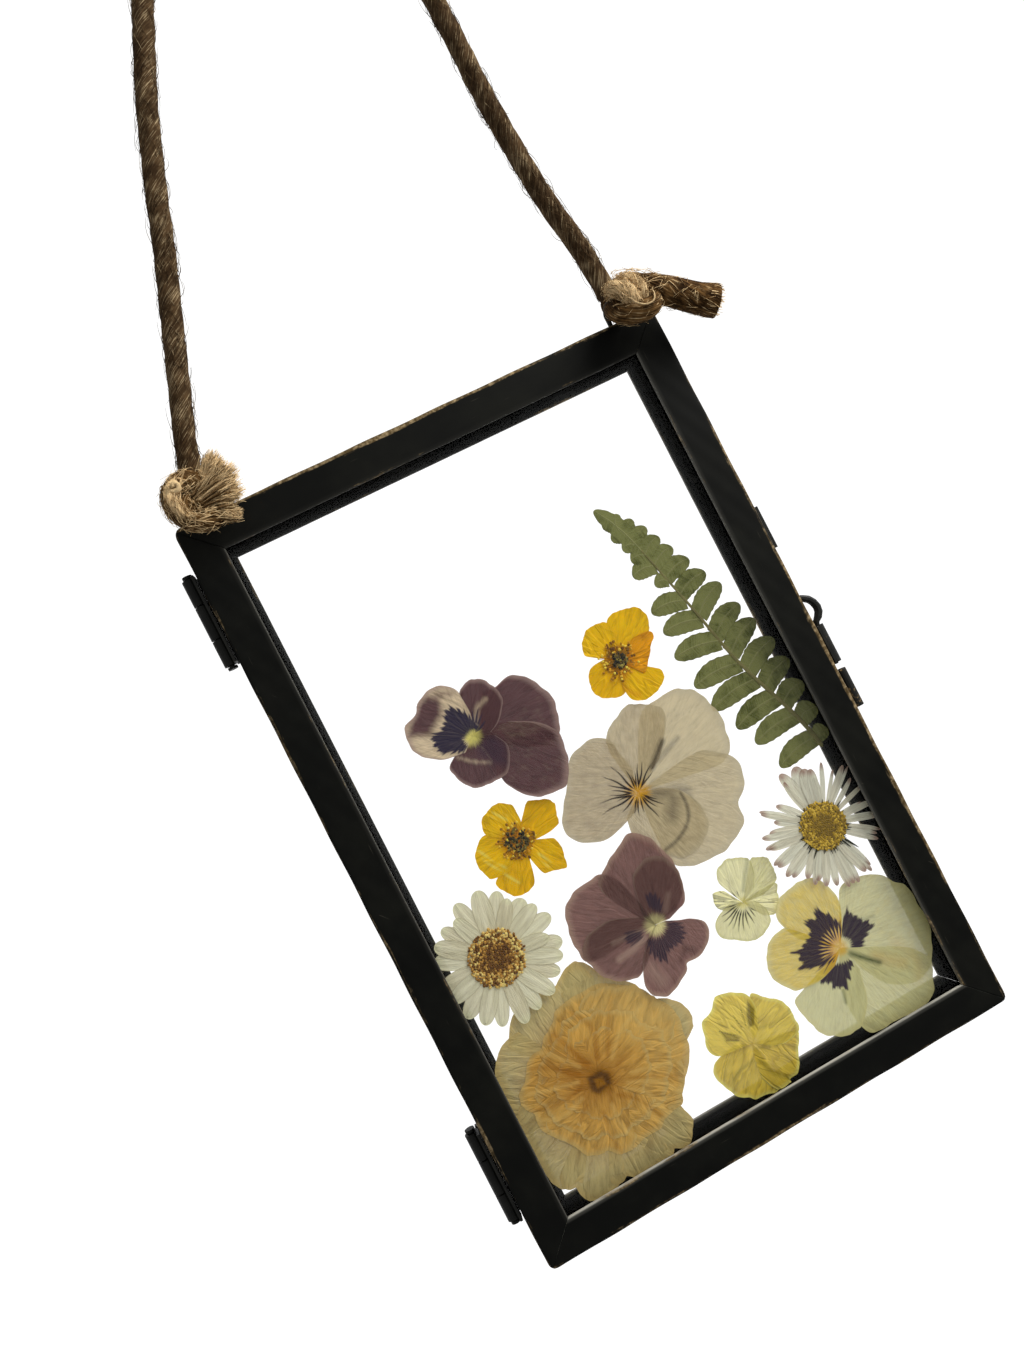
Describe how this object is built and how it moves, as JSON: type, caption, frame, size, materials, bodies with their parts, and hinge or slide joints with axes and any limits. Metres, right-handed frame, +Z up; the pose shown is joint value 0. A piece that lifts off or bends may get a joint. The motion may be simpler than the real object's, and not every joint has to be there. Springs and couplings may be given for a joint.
{
  "type": "pressed flower frame",
  "caption": "Small black metal double-glass frame on a jute rope, with pressed violas, pansies, daisies, buttercups and a fern tip between its panes.",
  "frame": {"origin": "where the rope's bend hangs on its hook: the inside of the bend at its top, in the plane of the rope", "axes": "the frame's front faces -Y, +X is to the right as seen from the front, +Z is up"},
  "size_m": [0.116, 0.0175, 0.3044],
  "materials": {
    "black_metal": "antique black, worn to brass at the edges",
    "glass": "clear",
    "jute": "twisted natural fibre",
    "fern": "dry leaf",
    "viola_purple_cream": "dry translucent petals",
    "viola_white": "dry translucent petals",
    "viola_purple": "dry translucent petals",
    "viola_pale_small": "dry translucent petals",
    "pansy_pale": "dry translucent petals",
    "viola_yellow": "dry translucent petals",
    "buttercup_upper": "dry translucent petals",
    "buttercup_lower": "dry translucent petals",
    "ruffled_flower_tan": "dry translucent petals",
    "daisy_broad": "dry translucent petals",
    "daisy_narrow": "dry translucent petals"
  },
  "bodies": {
    "front_half": {"front_top_rail": "black_metal", "front_right_rail": "black_metal", "front_bottom_rail": "black_metal", "front_left_rail": "black_metal", "upper_hinge_front_leaf": "black_metal", "upper_hinge_pin": "black_metal", "lower_hinge_front_leaf": "black_metal", "lower_hinge_pin": "black_metal", "latch_tube_front": "black_metal", "left_eyelet": "black_metal", "right_eyelet": "black_metal", "front_glass": "glass", "hanging_rope": "jute", "left_knot": "jute", "right_knot": "jute", "fern_tip": "fern", "viola_purple_cream": "viola_purple_cream", "viola_white": "viola_white", "viola_purple": "viola_purple", "viola_pale_small": "viola_pale_small", "pansy_pale": "pansy_pale", "viola_yellow": "viola_yellow", "buttercup_upper": "buttercup_upper", "buttercup_lower": "buttercup_lower", "ruffled_flower_tan": "ruffled_flower_tan", "daisy_broad": "daisy_broad", "daisy_narrow": "daisy_narrow"},
    "back_half": {"back_top_rail": "black_metal", "back_right_rail": "black_metal", "back_bottom_rail": "black_metal", "back_left_rail": "black_metal", "back_glass": "glass", "upper_hinge_back_leaf": "black_metal", "lower_hinge_back_leaf": "black_metal", "latch_tube_back": "black_metal", "thumb_tab": "black_metal"},
    "latch_pin": {"latch_pin": "black_metal"}
  },
  "joints": [
    {"name": "back_half_hinge", "type": "hinge", "parent": "front_half", "child": "back_half", "pos_m": [-0.0793, -0.00115, -0.2258], "axis": [0, 0, 1], "range_deg": [0, 180]},
    {"name": "latch_pin_slide", "type": "slide", "parent": "front_half", "child": "latch_pin", "axis": [0, 0, 1], "range_m": [0, 0.009]}
  ]
}
